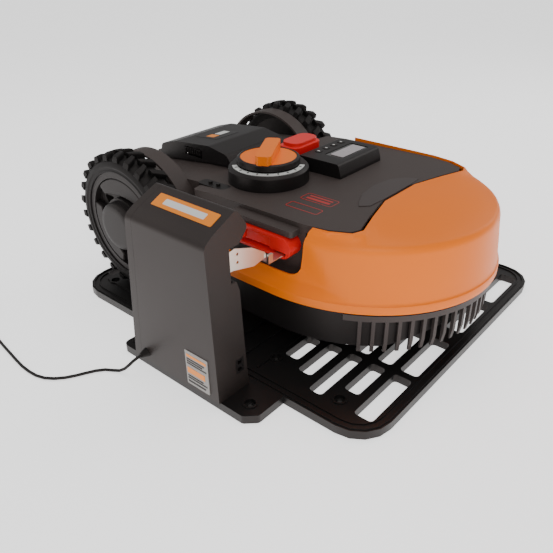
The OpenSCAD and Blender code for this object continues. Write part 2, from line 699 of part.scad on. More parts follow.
module cover_hinge_pin() { color("#9a9c9f") rod_y(hinge_x, hinge_z, -68.9, 68.9, 3); }
module main_board() {
    color("#1f5a36") block(300, 345, -90, 90, 96, 97.6);
    color("#303030") {
        block(310, 330, -70, -30, 97.5, 106);
        block(308, 338, 10, 60, 97.5, 109);
        for (x = [304, 341]) for (y = [-84, 84])
            rod_z(x, y, norm([x - cut_x, y - cut_y]) < well_r + wall + 3 ? well_top + wall : 58 + wall, 96.1, 3);
    }
}

// ---------- floating shell ----------
// One level of the shell: an ellipse in front, straight sides behind it, drawn in by d
module shell_level(z, d, rear) {
    translate([0, 0, z]) linear_extrude(0.5) polygon(concat(arc(shell_cx, 0, 240 - d, 218 - d, -90, 90, 24),
        [[rear, 218 - d], [rear, -(218 - d)]]));
}
module shell_form(d, lift, rear) {
    hull() {
        shell_level(shell_bottom - lift, d, rear);
        shell_level(shell_bottom + 14, d, rear);
        shell_level(216 - lift, d + 11, rear);
        shell_level(234 - lift, d + 22, rear);
        shell_level(237 - lift, d + 36, rear);
    }
}
module orange_shell() {
    color("#f07b16") difference() {
        shell_form(0, 0, 196);
        // open at the rear, so that only the two side walls reach back
        shell_form(wall, wall, 180);
        // the deck sits in this opening with a gap for the shell's travel
        translate([0, 0, 150]) linear_extrude(120) {
            polygon([[150, -189], [366, -190], [407, -183], [436, -168], [442, -150], [427, -104], [410, -44],
                [410, 44], [427, 104], [442, 150], [436, 168], [407, 183], [366, 190], [150, 189]]);
        }
        // notch for the charging recess
        along_y(-260, -160) polygon(rounded([[150, 157], [355, 157], [371, 171], [379, 229], [391, 245],
            [391, 300], [150, 300]], [0, 12, 12, 4, 0, 0, 0]));
    }
}

base_near();
base_far();
tower_pad();
tower_housing();
tower_back_cover();
terminal_socket();
charge_board();
cable_grommet();
contact_holder();
contact_tongue();
supply_cord();
cord_coil();
cord_plug();
chassis();
front_grille();
top_deck();
charging_connector();
connector_contact();
battery_pack();
control_housing();
display_lens();
control_board();
knob_bezel();
scale_ring();
rain_sensor();
gearbox_left();
gearbox_right();
drive_motors();
guide_rods();
main_board();
cover_hinge_pin();
orange_shell();
tyre_left();
rim_left();
hub_cap_left();
shaft_left();
tyre_right();
rim_right();
hub_cap_right();
shaft_right();
caster_fork();
caster_axle();
caster_wheel();
head_carrier();
cutting_motor();
blade_disc();
blade_screws();
blade_1();
blade_2();
blade_3();
height_knob();
lift_screw();
stop_button();
key_1();
key_2();
key_3();
key_4();
battery_cover();
latch_left();
latch_right();
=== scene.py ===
"""Robotic lawn mower on its charging station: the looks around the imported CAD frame. Metres, +Z up."""
import json
import math

import bmesh
import bpy
from mathutils import Matrix, Vector

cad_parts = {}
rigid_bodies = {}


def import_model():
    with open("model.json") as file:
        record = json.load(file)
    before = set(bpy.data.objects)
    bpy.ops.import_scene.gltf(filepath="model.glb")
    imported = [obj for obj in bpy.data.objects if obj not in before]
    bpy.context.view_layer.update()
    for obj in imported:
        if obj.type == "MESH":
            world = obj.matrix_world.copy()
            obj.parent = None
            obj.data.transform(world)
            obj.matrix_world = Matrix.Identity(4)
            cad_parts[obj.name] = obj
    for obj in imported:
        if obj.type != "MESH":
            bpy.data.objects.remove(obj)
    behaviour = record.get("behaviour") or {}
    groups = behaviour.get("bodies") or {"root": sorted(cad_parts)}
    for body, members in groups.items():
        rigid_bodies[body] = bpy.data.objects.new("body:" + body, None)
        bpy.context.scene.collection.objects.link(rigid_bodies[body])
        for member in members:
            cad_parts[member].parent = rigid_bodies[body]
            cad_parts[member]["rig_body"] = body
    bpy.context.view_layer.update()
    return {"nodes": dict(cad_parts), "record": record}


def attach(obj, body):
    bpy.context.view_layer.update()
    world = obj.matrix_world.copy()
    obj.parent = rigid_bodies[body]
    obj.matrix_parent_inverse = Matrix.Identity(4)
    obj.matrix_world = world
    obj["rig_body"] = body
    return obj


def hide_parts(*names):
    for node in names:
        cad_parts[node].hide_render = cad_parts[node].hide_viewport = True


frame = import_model()
MM = 0.001


def mm(x, y, z):
    return Vector((x * MM, y * MM, z * MM))


# ---------------------------------------------------------------- camera
CAMERA_PLACE = (0.8408, -0.7899, 0.5964)
CAMERA_PITCH, CAMERA_HEADING, CAMERA_ROLL = 30.1, 41.1, -0.8
SENSOR_MM, LENS_MM = 36.0, 39.294033


def make_camera():
    """The camera looks down by its pitch along its heading, and rolls a little about its own axis."""
    pitch, heading, roll = (math.radians(a) for a in (CAMERA_PITCH, CAMERA_HEADING, CAMERA_ROLL))
    level = math.cos(pitch)
    forward = Vector((-math.sin(heading) * level, math.cos(heading) * level, -math.sin(pitch)))
    right = Vector((math.cos(heading), math.sin(heading), 0))
    up = right.cross(forward)
    right_r = right * math.cos(roll) + up * math.sin(roll)
    up_r = up * math.cos(roll) - right * math.sin(roll)
    data = bpy.data.cameras.new("camera")
    data.sensor_width = SENSOR_MM
    data.lens = LENS_MM
    data.clip_start = 0.05
    camera = bpy.data.objects.new("camera", data)
    basis = Matrix((right_r, up_r, -forward)).transposed().to_4x4()
    camera.matrix_world = Matrix.Translation(CAMERA_PLACE) @ basis
    bpy.context.scene.collection.objects.link(camera)
    bpy.context.scene.camera = camera


make_camera()


# ---------------------------------------------------------------- materials
PATCH_SCALE = 9.0
ROUGH_SPREAD = 0.08
GRAIN_DEPTH = 0.0003
# below this brightness a plastic gets a slightly warm sheen
DARK_LIMIT = 0.06
WARM_SHEEN = (1.0, 0.86, 0.82, 1)


def material(name, base, rough, metallic=0.0, spread=0.12, grain=900.0, bump=0.12, coat=0.0,
             specular=0.5, emission=None):
    """A moulded or turned finish: colour variation, uneven roughness and a fine grain."""
    mat = bpy.data.materials.new(name)
    mat.use_nodes = True
    nodes, links = mat.node_tree.nodes, mat.node_tree.links
    shader = nodes["Principled BSDF"]
    shader.inputs["Metallic"].default_value = metallic
    shader.inputs["Coat Weight"].default_value = coat
    shader.inputs["Coat Roughness"].default_value = 0.12
    shader.inputs["Specular IOR Level"].default_value = specular
    if metallic == 0.0 and max(base) < DARK_LIMIT:
        shader.inputs["Specular Tint"].default_value = WARM_SHEEN
    coord = nodes.new("ShaderNodeTexCoord")
    broad = nodes.new("ShaderNodeTexNoise")
    broad.inputs["Scale"].default_value = PATCH_SCALE
    broad.inputs["Detail"].default_value = 5.0
    links.new(coord.outputs["Object"], broad.inputs["Vector"])
    ramp = nodes.new("ShaderNodeValToRGB")
    low = [c * (1 - spread) for c in base]
    high = [min(1.0, c * (1 + spread)) for c in base]
    ramp.color_ramp.elements[0].position = 0.3
    ramp.color_ramp.elements[1].position = 0.7
    ramp.color_ramp.elements[0].color = (*low, 1)
    ramp.color_ramp.elements[1].color = (*high, 1)
    links.new(broad.outputs["Fac"], ramp.inputs["Fac"])
    links.new(ramp.outputs["Color"], shader.inputs["Base Color"])
    fine = nodes.new("ShaderNodeTexNoise")
    fine.inputs["Scale"].default_value = grain
    fine.inputs["Detail"].default_value = 3.0
    links.new(coord.outputs["Object"], fine.inputs["Vector"])
    span = nodes.new("ShaderNodeMapRange")
    span.inputs["To Min"].default_value = rough - ROUGH_SPREAD
    span.inputs["To Max"].default_value = rough + ROUGH_SPREAD
    links.new(broad.outputs["Fac"], span.inputs["Value"])
    links.new(span.outputs["Result"], shader.inputs["Roughness"])
    relief = nodes.new("ShaderNodeBump")
    relief.inputs["Strength"].default_value = bump
    relief.inputs["Distance"].default_value = GRAIN_DEPTH
    links.new(fine.outputs["Fac"], relief.inputs["Height"])
    links.new(relief.outputs["Normal"], shader.inputs["Normal"])
    if emission is not None:
        shader.inputs["Emission Color"].default_value = (1, 1, 1, 1)
        shader.inputs["Emission Strength"].default_value = emission
    return mat


# name: base colour, roughness, and what differs from a plain moulded finish
FINISHES = {
    "black_plastic": ((0.010, 0.009, 0.009), 0.42, dict(grain=1400, specular=0.30)),
    "dock_plastic": ((0.009, 0.009, 0.009), 0.38, dict(grain=1500, specular=0.36)),
    "tower_plastic": ((0.024, 0.019, 0.0175), 0.44, dict(grain=2200, bump=0.2, specular=0.34)),
    "circuit_board": ((0.02, 0.12, 0.05), 0.35, dict(grain=600, coat=0.4)),
    "cord_sheath": ((0.009, 0.009, 0.009), 0.45, dict(grain=1200, specular=0.3)),
    "contact_metal": ((0.72, 0.68, 0.62), 0.30, dict(metallic=1.0, spread=0.05, grain=700, bump=0.05)),
    "deck_plastic": ((0.060, 0.046, 0.042), 0.52, dict(spread=0.08, grain=2400, bump=0.25, specular=0.24)),
    "orange_plastic": ((1.0, 0.200, 0.0), 0.38, dict(spread=0.03, grain=1500, bump=0.05, specular=0.28)),
    "red_plastic": ((0.78, 0.016, 0.012), 0.34, dict(spread=0.06, grain=1400, specular=0.32)),
    "tyre_rubber": ((0.007, 0.007, 0.007), 0.60, dict(spread=0.2, grain=900, bump=0.35, specular=0.26)),
    "wheel_plastic": ((0.019, 0.017, 0.0165), 0.48, dict(grain=1800, bump=0.2, specular=0.30)),
    "bright_steel": ((0.60, 0.60, 0.61), 0.28, dict(metallic=1.0, spread=0.06, grain=500, bump=0.08)),
    "display_glass": ((0.014, 0.015, 0.015), 0.12, dict(grain=300, bump=0.0, coat=0.5)),
    "white_plastic": ((0.72, 0.72, 0.69), 0.40, dict(spread=0.05, grain=900)),
    "disc_plastic": ((0.55, 0.14, 0.03), 0.42, dict(grain=1200)),
    "lcd": ((0.42, 0.38, 0.39), 0.26, dict(spread=0.05, grain=300, coat=0.2)),
    "label_silver": ((0.30, 0.28, 0.26), 0.42, dict(spread=0.06, grain=800)),
    "dark_gap": ((0.012, 0.011, 0.011), 0.40, dict(grain=1500, specular=0.3)),
    "patch_plastic": ((0.058, 0.047, 0.045), 0.44, dict(grain=2000, specular=0.3)),
    "decal_red": ((0.42, 0.022, 0.018), 0.42, dict(grain=1200)),
    "badge_orange": ((0.92, 0.26, 0.006), 0.36, dict(spread=0.04, grain=1000)),
}
MATS = {name: material(name, base, rough, **rest) for name, (base, rough, rest) in FINISHES.items()}
for row in frame["record"]["subparts"]:
    node = frame["nodes"][row["node"]]
    node.data.materials.clear()
    node.data.materials.append(MATS[row["material_slot"]])


# ---------------------------------------------------------------- mesh helpers
def finish_piece(obj, mat, body, replaces=()):
    obj.data.materials.clear()
    obj.data.materials.append(MATS[mat])
    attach(obj, body)
    if replaces:
        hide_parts(*replaces)
    return obj


def add_mesh(name, verts, faces, smooth=True):
    mesh = bpy.data.meshes.new(name)
    mesh.from_pydata([tuple(v) for v in verts], [], faces)
    mesh.validate()
    for poly in mesh.polygons:
        poly.use_smooth = smooth
    obj = bpy.data.objects.new(name, mesh)
    bpy.context.scene.collection.objects.link(obj)
    return obj


def apply_modifiers(obj):
    bpy.context.view_layer.update()
    graph = bpy.context.evaluated_depsgraph_get()
    mesh = bpy.data.meshes.new_from_object(obj.evaluated_get(graph))
    obj.modifiers.clear()
    obj.data = mesh
    return obj


def shade_by_angle(obj, degrees=35):
    """Smooth faces with sharp edges where the surface turns by more than the angle."""
    bm = bmesh.new()
    bm.from_mesh(obj.data)
    limit = math.radians(degrees)
    for face in bm.faces:
        face.smooth = True
    for edge in bm.edges:
        edge.smooth = not (len(edge.link_faces) == 2 and edge.calc_face_angle(0) > limit)
    bm.to_mesh(obj.data)
    bm.free()
    return obj


def bevel(obj, width, segments=2, degrees=35):
    mod = obj.modifiers.new("bevel", "BEVEL")
    mod.width = width
    mod.segments = segments
    mod.limit_method = "ANGLE"
    mod.angle_limit = math.radians(degrees)
    mod.use_clamp_overlap = True
    mod.harden_normals = False
    apply_modifiers(obj)
    shade_by_angle(obj, 40)
    # large flat faces keep their own direction next to the rounded edges
    mod = obj.modifiers.new("normals", "WEIGHTED_NORMAL")
    mod.keep_sharp = True
    mod.weight = 100
    return apply_modifiers(obj)


# what a CAD mesh stores about its shading, which would override the new edges
STORED_SHADING = ("custom_normal", "sharp_edge", "sharp_face")
WELD, FLAT_DEGREES = 2e-6, 1.0


def softened(node, width, mat=None, segments=2):
    """A copy of a CAD node's shape with welded faces and rounded edges, which stands for the node."""
    source = frame["nodes"][node]
    obj = bpy.data.objects.new(node + "_finish", source.data.copy())
    bpy.context.scene.collection.objects.link(obj)
    bm = bmesh.new()
    bm.from_mesh(obj.data)
    bmesh.ops.remove_doubles(bm, verts=bm.verts, dist=WELD)
    bmesh.ops.dissolve_limit(bm, angle_limit=math.radians(FLAT_DEGREES), verts=bm.verts, edges=bm.edges)
    bmesh.ops.dissolve_degenerate(bm, dist=1e-6, edges=bm.edges)
    bm.to_mesh(obj.data)
    bm.free()
    stored = [a.name for a in obj.data.attributes if a.name in STORED_SHADING]
    for name in stored:
        obj.data.attributes.remove(obj.data.attributes[name])
    bevel(obj, width, segments)
    slot = next(r["material_slot"] for r in frame["record"]["subparts"] if r["node"] == node)
    body = source["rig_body"]
    return finish_piece(obj, mat or slot, body, replaces=(node,))


def prism_faces(count):
    """The two ends and the sides of a prism whose outline has that many points."""
    faces = [list(range(count))[::-1], [count + i for i in range(count)]]
    faces += [[i, (i + 1) % count, count + (i + 1) % count, count + i] for i in range(count)]
    return faces


def swept_faces(stations, segments, count):
    """Quads between neighbouring closed sections, where the last segment may lead back to the first."""
    faces = []
    for i in range(segments):
        here, after = i * count, (i + 1) % stations * count
        for j in range(count):
            k = (j + 1) % count
            faces.append([here + j, here + k, after + k, after + j])
    return faces


def ease(t):
    """Rises smoothly from 0 to 1."""
    return t * t * (3 - 2 * t)


def prism(name, outline, low, high, axis="z"):
    """A closed prism over an outline in mm, from low to high along the z or the y axis."""
    def place(p, height):
        return mm(p[0], height, p[1]) if axis == "y" else mm(p[0], p[1], height)
    verts = [place(p, low) for p in outline] + [place(p, high) for p in outline]
    obj = add_mesh(name, verts, prism_faces(len(outline)), smooth=False)
    bm = bmesh.new()
    bm.from_mesh(obj.data)
    bmesh.ops.recalc_face_normals(bm, faces=bm.faces)
    bm.to_mesh(obj.data)
    bm.free()
    return obj


def rounded_rect(x0, x1, y0, y1, r, steps=5):
    points = []
    corners = ((x1 - r, y1 - r, 0), (x0 + r, y1 - r, 90), (x0 + r, y0 + r, 180), (x1 - r, y0 + r, 270))
    for cx, cy, start in corners:
        for i in range(steps + 1):
            t = math.radians(start + 90 * i / steps)
            points.append((cx + r * math.cos(t), cy + r * math.sin(t)))
    return points


def face_outward(obj):
    bm = bmesh.new()
    bm.from_mesh(obj.data)
    bmesh.ops.recalc_face_normals(bm, faces=bm.faces)
    if bm.calc_volume(signed=True) < 0:
        bmesh.ops.reverse_faces(bm, faces=bm.faces)
    bm.to_mesh(obj.data)
    bm.free()
    return obj


def cut(obj, cutter):
    """Takes the cutter's shape away. An empty result stops the script."""
    mod = obj.modifiers.new("cut", "BOOLEAN")
    mod.operation = "DIFFERENCE"
    mod.solver = "MANIFOLD"
    mod.object = cutter
    apply_modifiers(obj)
    if not obj.data.polygons:
        raise RuntimeError(f"the cut left nothing of {obj.name}")
    bpy.data.objects.remove(cutter)
    return obj


# ---------------------------------------------------------------- supply cord
CORD_R = 2.5
ROUTE = [(196, -369, 30), (195, -376, 29), (192, -382, 25), (187, -387, 18), (180, -391, 10),
         (171, -395, 4), (161, -400, 2.5), (150, -407, 2.5), (141, -418, 2.5), (134, -431, 2.5),
         (127, -445, 2.5), (119, -458, 2.5), (108, -470, 2.5), (95, -479, 2.5), (80, -484, 2.5),
         (62, -486, 2.5), (42, -486, 2.5), (20, -484, 2.5), (-5, -481, 2.5), (-32, -478, 2.5),
         (-60, -474, 2.5), (-88, -468, 2.5), (-113, -458, 2.5), (-134, -448, 2.5), (-152, -440, 2.5)]
TAIL = [(-162, -513.5, 7.5), (-154, -514.5, 7.8), (-147, -515, 8.3), (-140, -515, 8.5)]
COIL = (-170, -475)
COIL_MID = 29.0
COIL_START, COIL_STOP = 66.0, 270.0 - 8.0 + 360 * 11
STEPS_PER_TURN = 24
# the last part of each turn in which the cord climbs over to its next place in the coil
CROSSING = 0.3
# column and row of each turn in the coil, from the outer bottom turn to the outer middle one
SLOT_ORDER = [(3, 0), (2, 0), (1, 0), (0, 0), (0, 1), (0, 2),
              (1, 2), (1, 1), (2, 1), (2, 2), (3, 2), (3, 1)]


def coil_points():
    count = int((COIL_STOP - COIL_START) / 360 * STEPS_PER_TURN)
    points = []
    for i in range(count + 1):
        angle = COIL_START + (COIL_STOP - COIL_START) * i / count
        turn = (angle - COIL_START) / 360
        k = min(int(turn), len(SLOT_ORDER) - 1)
        nxt = min(k + 1, len(SLOT_ORDER) - 1)
        t = ease(max(0.0, (turn - k - (1 - CROSSING)) / CROSSING))
        col = SLOT_ORDER[k][0] * (1 - t) + SLOT_ORDER[nxt][0] * t
        level = SLOT_ORDER[k][1] * (1 - t) + SLOT_ORDER[nxt][1] * t
        r = COIL_MID + (col - 1.5) * 2 * CORD_R
        a = math.radians(angle)
        points.append((COIL[0] + r * math.cos(a), COIL[1] + r * math.sin(a), CORD_R + level * 2 * CORD_R))
    return points


def make_cord():
    points = ROUTE + coil_points() + TAIL
    curve = bpy.data.curves.new("supply_cord_full", "CURVE")
    curve.dimensions = "3D"
    spline = curve.splines.new("POLY")
    spline.points.add(len(points) - 1)
    for p, q in zip(spline.points, points):
        p.co = (*mm(*q), 1)
    curve.bevel_depth = CORD_R * MM
    curve.bevel_resolution = 4
    curve.use_fill_caps = True
    obj = bpy.data.objects.new("supply_cord_full", curve)
    bpy.context.scene.collection.objects.link(obj)
    obj.data.materials.append(MATS["cord_sheath"])
    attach(obj, "dock")
    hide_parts("supply_cord", "cord_coil")


make_cord()


# ---------------------------------------------------------------- floor and light
FLOOR_HALF, FLOOR_Z = 6, -0.0005
# name, place, power and size
LAMPS = (("key", (1.5, -1.5, 1.5), 13, 1.2), ("fill", (-1.6, -1.0, 1.5), 5, 1.6),
         ("top", (0.1, 0.3, 2.2), 14, 1.8), ("rim", (0.9, 1.9, 1.3), 9, 1.4))
LAMP_AIM = Vector((0.2, -0.05, 0.12))
SKY_STRENGTH = 0.42


def make_stage():
    corners = [(sx * FLOOR_HALF, sy * FLOOR_HALF, FLOOR_Z) for sx, sy in ((-1, -1), (1, -1), (1, 1), (-1, 1))]
    floor = add_mesh("floor", corners, [[0, 1, 2, 3]], smooth=False)
    mat = material("floor_paper", (0.93, 0.93, 0.93), 0.7, spread=0.01, grain=60, bump=0.0, emission=1.1)
    floor.data.materials.append(mat)
    world = bpy.data.worlds.new("studio")
    bpy.context.scene.world = world
    world.use_nodes = True
    world.node_tree.nodes["Background"].inputs["Color"].default_value = (1, 1, 1, 1)
    world.node_tree.nodes["Background"].inputs["Strength"].default_value = SKY_STRENGTH
    for name, place, power, size in LAMPS:
        data = bpy.data.lights.new(name, "AREA")
        data.energy = power
        data.size = size
        lamp = bpy.data.objects.new(name, data)
        lamp.location = place
        lamp.rotation_euler = (LAMP_AIM - Vector(place)).to_track_quat("-Z", "Y").to_euler()
        bpy.context.scene.collection.objects.link(lamp)


make_stage()


# ---------------------------------------------------------------- softened CAD shapes
# node and the width of its rounded edges in mm
SOFT_EDGES = (("base_near", 0.9), ("base_far", 0.9), ("tower_pad", 0.9), ("control_housing", 1.2),
              ("battery_cover", 2.2), ("knob_bezel", 0.8), ("chassis", 1.0),
              ("rain_sensor", 1.0), ("top_deck", 1.2), ("tower_housing", 2.0), ("tower_back_cover", 1.0),
              ("hub_cap_left", 1.5), ("hub_cap_right", 1.5), ("rim_left", 1.2), ("rim_right", 1.2),
              ("charging_connector", 0.8), ("latch_left", 0.4), ("latch_right", 0.4))
for name, width in SOFT_EDGES:
    softened(name, width * MM)
softened("front_grille", 0.7 * MM, "patch_plastic")


# ---------------------------------------------------------------- orange shell
SHELL_CX, SHELL_A, SHELL_B, SHELL_REAR = 330.0, 240.0, 218.0, 196.0
# the near half of the deck opening's edge, whose far half mirrors it
OPENING_NEAR = [(366, -190), (407, -183), (436, -168), (442, -150), (427, -104), (410, -44)]
OPENING = OPENING_NEAR + [(x, -y) for x, y in reversed(OPENING_NEAR)]
OPENING_REAR_X, OPENING_SIDE_Y = 366, 189.5
# a ray may miss a corner of the opening by rounding, so each edge reaches a little past its ends
CORNER_SLACK = 1e-4
# the edge beside the recess runs from its top down and forward to where it ends
EDGE_TOP_X, EDGE_TOP_Z, EDGE_SLOPE, EDGE_END_X = 379, 229, 84 / 71, 452
TUCK_FOOT_Z, TUCK_RISE, TUCK_RATE, TUCK_LIMIT = 137, 16, 0.19, 10.0
SHELL_WALL = 2.6
SIDE_STATIONS, NOSE_STATIONS = 13, 72


def opening_point(x, y):
    """Where the deck opening's edge lies inboard of an outline point."""
    if x < OPENING_REAR_X and abs(y) > 150:
        return x, math.copysign(OPENING_SIDE_Y, y)
    direction = Vector((x - SHELL_CX, y))
    best = None
    for (x0, y0), (x1, y1) in zip(OPENING, OPENING[1:]):
        ex, ey = x1 - x0, y1 - y0
        det = direction.x * -ey + ex * direction.y
        if abs(det) < 1e-9:
            continue
        t = ((x0 - SHELL_CX) * -ey + ex * y0) / det
        s = (direction.x * y0 - direction.y * (x0 - SHELL_CX)) / det
        if t > 0 and -CORNER_SLACK <= s <= 1 + CORNER_SLACK and (best is None or t < best):
            best = t
    return SHELL_CX + direction.x * best, direction.y * best


def tuck(x, z, ny):
    """How far the wall is drawn in under the slanting edge that runs down and forward from the recess."""
    if ny > -0.2 or x > EDGE_END_X:
        return 0.0
    below = EDGE_TOP_Z - (max(x, EDGE_TOP_X) - EDGE_TOP_X) * EDGE_SLOPE - z
    rise = min(1.0, max(0.0, (z - TUCK_FOOT_Z) / TUCK_RISE))
    return min(TUCK_LIMIT, max(0.0, below * TUCK_RATE)) * ease(rise)


def shell_station(x, y, nx, ny):
    """One cross-section: outer points from the lower lip up over the shoulder to the deck opening."""
    def at(d, z):
        d += tuck(x, z, ny)
        return (x - nx * d, y - ny * d, z)

    ox, oy = opening_point(x, y)
    front = max(0.0, nx)
    lip = [at(3.2, 122.0), at(0.6, 122.2), at(0.0, 123.6), at(0.0, 133.5), at(0.6, 135.6), at(2.2, 136.6)]
    wall = [at(3.0, 139.0), at(3.5, 144.0), at(4.0, 149.0), at(4.5, 154.0), at(6.0, 170.0), at(7.5, 184.0)]
    shoulder = [at(9.0, 198.0), at(10.2, 210.0 + 2 * front), at(11.5, 216.5), at(14.0, 221.0),
                at(18.5, 224.5)]
    section = lip + wall + shoulder
    inner_z = 236.2 - 0.6 * front
    sx, sy, sz = shoulder[-1]
    for t in (0.25, 0.5, 0.75, 0.94, 1.0):
        bulge = 3.2 * math.sin(math.pi * t) * (1 - 0.3 * front)
        section.append((sx + (ox - sx) * t, sy + (oy - sy) * t, sz + (inner_z - sz) * t + bulge))
    section.append((ox - nx * 0.3, oy - ny * 0.3, inner_z - 1.2))
    section.append((ox + nx * 0.2, oy + ny * 0.2, inner_z - 7.0))
    return section


def make_shell():
    stations = []
    for i in range(SIDE_STATIONS):
        x = SHELL_REAR + (SHELL_CX - SHELL_REAR) * i / SIDE_STATIONS
        stations.append(shell_station(x, -SHELL_B, 0.0, -1.0))
    # even steps, and one more at each corner of the deck opening so that no chord cuts a corner
    angles = {round(-90 + 180 * i / NOSE_STATIONS, 4) for i in range(NOSE_STATIONS + 1)}
    for x, y in OPENING:
        angles.add(round(math.degrees(math.atan2(y / SHELL_B, (x - SHELL_CX) / SHELL_A)), 4))
    for degrees in sorted(angles):
        t = math.radians(degrees)
        nx, ny = math.cos(t) / SHELL_A, math.sin(t) / SHELL_B
        n = math.hypot(nx, ny)
        x, y = SHELL_CX + SHELL_A * math.cos(t), SHELL_B * math.sin(t)
        stations.append(shell_station(x, y, nx / n, ny / n))
    for i in range(SIDE_STATIONS):
        x = SHELL_CX - (SHELL_CX - SHELL_REAR) * (i + 1) / SIDE_STATIONS
        stations.append(shell_station(x, SHELL_B, 0.0, 1.0))
    rows = len(stations[0])
    verts = [mm(*p) for s in stations for p in s]
    faces = []
    for i in range(len(stations) - 1):
        for j in range(rows - 1):
            a = i * rows + j
            faces.append([a, a + 1, a + rows + 1, a + rows])
    shell = add_mesh("shell_skin", verts, faces)
    solid = shell.modifiers.new("thick", "SOLIDIFY")
    solid.thickness = SHELL_WALL * MM
    solid.offset = 1.0
    solid.use_quality_normals = True
    apply_modifiers(shell)
    face_outward(shell)
    notch = [(150, 157), (352, 157), (360, 159), (366, 163), (371, 171), (376, 205), (379, 229), (384, 238),
             (391, 245), (391, 300), (150, 300)]
    cut(shell, prism("notch", notch, -260, -160, "y"))
    bevel(shell, 0.7 * MM, 2, 45)
    finish_piece(shell, "orange_plastic", "shell", replaces=("orange_shell",))


make_shell()


# ---------------------------------------------------------------- wheels
AXLE_Z, WHEEL_R, IN_Y, OUT_Y, LUGS = 143.8, 127.5, 188.0, 237.0, 26
MID_Y, TREAD_R = 212.5, 115.0


def lathe_y(name, profile, segments=96):
    """Turns a (radius, y) profile in mm about the wheel axle."""
    verts = []
    for i in range(segments):
        t = 2 * math.pi * i / segments
        for r, y in profile:
            verts.append(mm(r * math.cos(t), y, AXLE_Z + r * math.sin(t)))
    return add_mesh(name, verts, swept_faces(segments, segments, len(profile)))


def lug_points(side, centre, pitch, inner, outer):
    """Three layers of six points: a lug that leans from the middle of the tread out to the shoulder."""
    lean = pitch * 0.22
    points = []
    for r, grow in ((TREAD_R, 1.0), (124.0, 0.86), (WHEEL_R, 0.66)):
        for y, shift, width in ((inner, lean, 0.20), ((inner + outer) / 2, 0.1 * lean, 0.25),
                                (outer, -lean * 0.6, 0.25)):
            drop = 1.6 if (y == outer and r > 118) else 0.0
            inset = (r - TREAD_R) / 12.5 * 1.6
            yy = y - math.copysign(inset, y - MID_Y)
            for sign in (-1, 1):
                t = centre + shift + sign * width * pitch * grow
                points.append(mm((r - drop) * math.cos(t), yy * side, AXLE_Z + (r - drop) * math.sin(t)))
    return points


def add_lug(bm, points):
    """The lug's sides, layer by layer, then its top and its foot."""
    v = [bm.verts.new(p) for p in points]

    def quad(a, b, c, d):
        bm.faces.new((v[a], v[b], v[c], v[d]))

    for layer in (0, 6):
        quad(layer, layer + 1, layer + 7, layer + 6)
        quad(layer + 5, layer + 4, layer + 10, layer + 11)
        for q in (layer, layer + 2):
            quad(q + 1, q + 3, q + 9, q + 7)
            quad(q + 2, q, q + 6, q + 8)
    for q in (0, 2):
        quad(q + 12, q + 13, q + 15, q + 14)
        quad(q + 2, q + 3, q + 1, q)


def make_tyre(side):
    body = "wheel_left" if side > 0 else "wheel_right"
    name = "tyre_left" if side > 0 else "tyre_right"
    profile = [(95, IN_Y + 1), (97, IN_Y), (108, IN_Y), (114, IN_Y + 2), (117, IN_Y + 6), (117.5, MID_Y),
               (117, OUT_Y - 6), (114, OUT_Y - 2), (108, OUT_Y - 0.4), (104, OUT_Y), (102.5, OUT_Y - 1.2),
               (99, OUT_Y - 1.2), (97, OUT_Y - 0.2), (95, OUT_Y - 1)]
    tyre = lathe_y(name + "_tread", [(r, y * side) for r, y in profile])
    bm = bmesh.new()
    bm.from_mesh(tyre.data)
    pitch = 2 * math.pi / LUGS
    for row, (inner, outer) in enumerate(((MID_Y - 1, IN_Y + 0.2), (MID_Y + 1, OUT_Y - 0.2))):
        for k in range(LUGS):
            add_lug(bm, lug_points(side, pitch * (k + 0.5 * row), pitch, inner, outer))
    bmesh.ops.recalc_face_normals(bm, faces=bm.faces)
    bm.to_mesh(tyre.data)
    bm.free()
    bevel(tyre, 0.9 * MM, 2, 38)
    finish_piece(tyre, "tyre_rubber", body, replaces=(name,))


for side in (1, -1):
    make_tyre(side)

PANEL_R, PANEL_HALF_TURN, PANEL_STEPS = 83.2, 46, 16
PANEL_INNER_R, PANEL_LENS = 52.5, 13.0


def make_wheel_panels(side):
    """Three raised lens-shaped panels between the hub and the rim's edge."""
    body = "wheel_left" if side > 0 else "wheel_right"
    for k, middle in enumerate((90, 210, 330)):
        outline = []
        for i in range(PANEL_STEPS + 1):
            t = math.radians(middle - PANEL_HALF_TURN + 2 * PANEL_HALF_TURN * i / PANEL_STEPS)
            outline.append((PANEL_R * math.cos(t), AXLE_Z + PANEL_R * math.sin(t)))
        for i in range(PANEL_STEPS + 1):
            u = 1 - i / PANEL_STEPS * 2
            t = math.radians(middle + PANEL_HALF_TURN * u)
            r = PANEL_INNER_R + PANEL_LENS * u * u
            outline.append((r * math.cos(t), AXLE_Z + r * math.sin(t)))
        low, high = sorted((side * (OUT_Y - 16.5), side * (OUT_Y - 3.2)))
        panel = prism(f"{body}_panel_{k}", outline, low, high, "y")
        bevel(panel, 2.6 * MM, 3)
        finish_piece(panel, "wheel_plastic", body)


for side in (1, -1):
    make_wheel_panels(side)


# ---------------------------------------------------------------- knob and stop button
softened("height_knob", 1.6 * MM, segments=3)
softened("stop_button", 3.2 * MM, segments=3)


def ring_z(name, centre, profile, mat, body, start=0.0, sweep=360.0, segments=96):
    """Turns a (radius, z) profile in mm about a vertical axis, all round or over an arc."""
    closed = sweep >= 360
    stations = segments if closed else segments + 1
    count = len(profile)
    verts = []
    for i in range(stations):
        t = math.radians(start + sweep * i / segments)
        verts += [mm(centre[0] + r * math.cos(t), centre[1] + r * math.sin(t), z) for r, z in profile]
    faces = swept_faces(stations, segments, count)
    if not closed:
        faces += [list(range(count))[::-1], [segments * count + j for j in range(count)]]
    obj = face_outward(add_mesh(name, verts, faces))
    shade_by_angle(obj, 35)
    return finish_piece(obj, mat, body)


